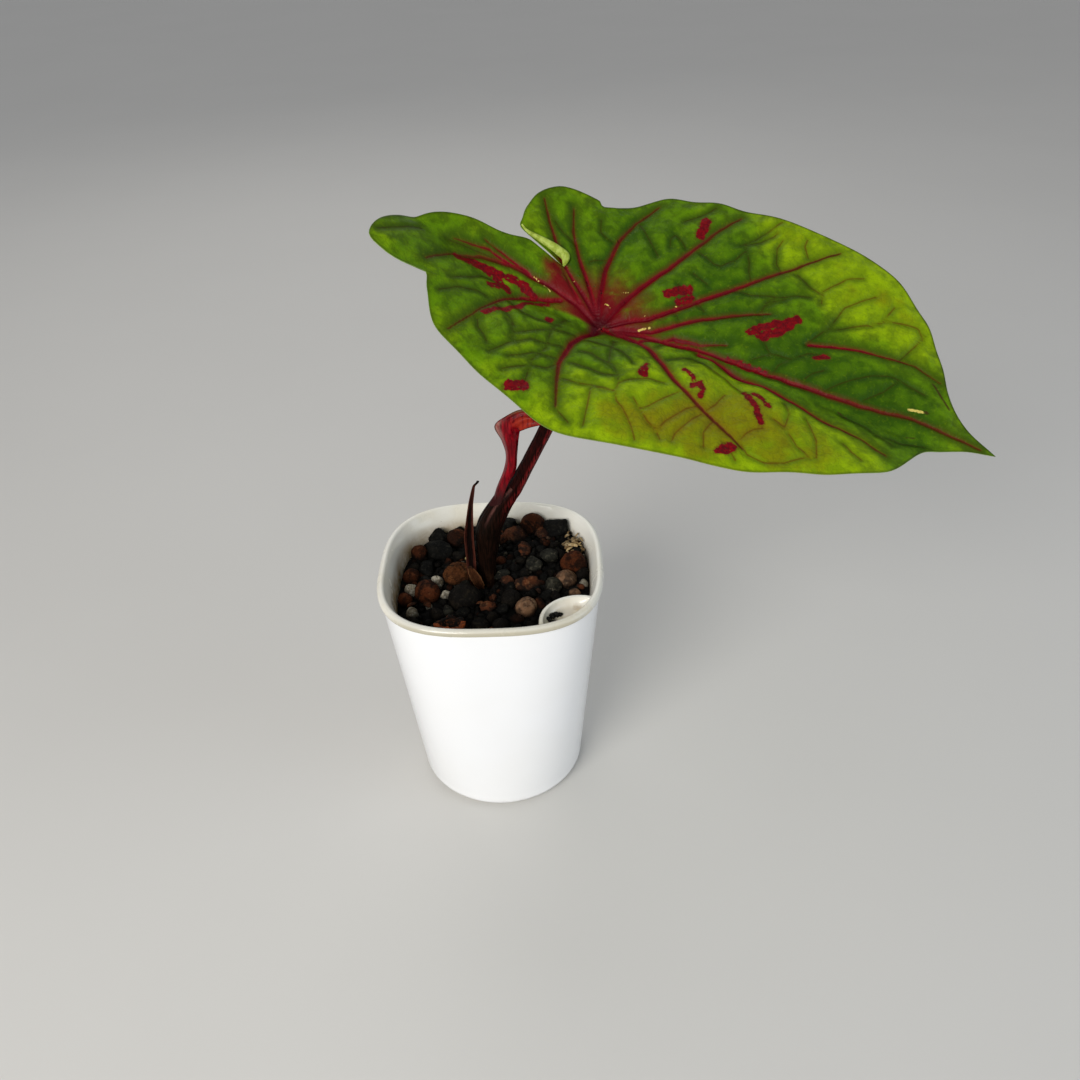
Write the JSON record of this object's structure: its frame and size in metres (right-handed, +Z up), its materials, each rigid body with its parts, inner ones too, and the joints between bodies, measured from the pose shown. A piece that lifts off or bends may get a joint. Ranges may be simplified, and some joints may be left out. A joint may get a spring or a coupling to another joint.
{
  "type": "potted plant",
  "caption": "Potted caladium with a large heart-shaped leaf on a leaning stalk, a young leaf and a bract, in mineral mix in a squarish self-watering pot.",
  "frame": {"origin": "middle of the pot's flat base", "axes": "+Z up out of the pot; -Y the side that the fill basin's corner is seen from, with the basin at +X; the large leaf leans towards +X"},
  "size_m": [0.2425, 0.123, 0.2718],
  "materials": {
    "pot_plastic": "gloss",
    "liner_plastic": "gloss",
    "mineral_mix": "rough",
    "charcoal": "rough",
    "tuber_flesh": "rough",
    "leaf_green": "satin",
    "stalk_maroon": "satin",
    "young_leaf_red": "satin",
    "bract_brown": "matte",
    "scale_brown": "matte"
  },
  "bodies": {
    "root": {"outer_pot": "pot_plastic", "inner_liner": "liner_plastic", "substrate": "mineral_mix", "spilled_grit": "charcoal", "tuber": "tuber_flesh", "leaf_blade": "leaf_green", "leaf_stalk": "stalk_maroon", "young_leaf": "young_leaf_red", "bract": "bract_brown", "dried_scale": "scale_brown"}
  },
  "joints": []
}
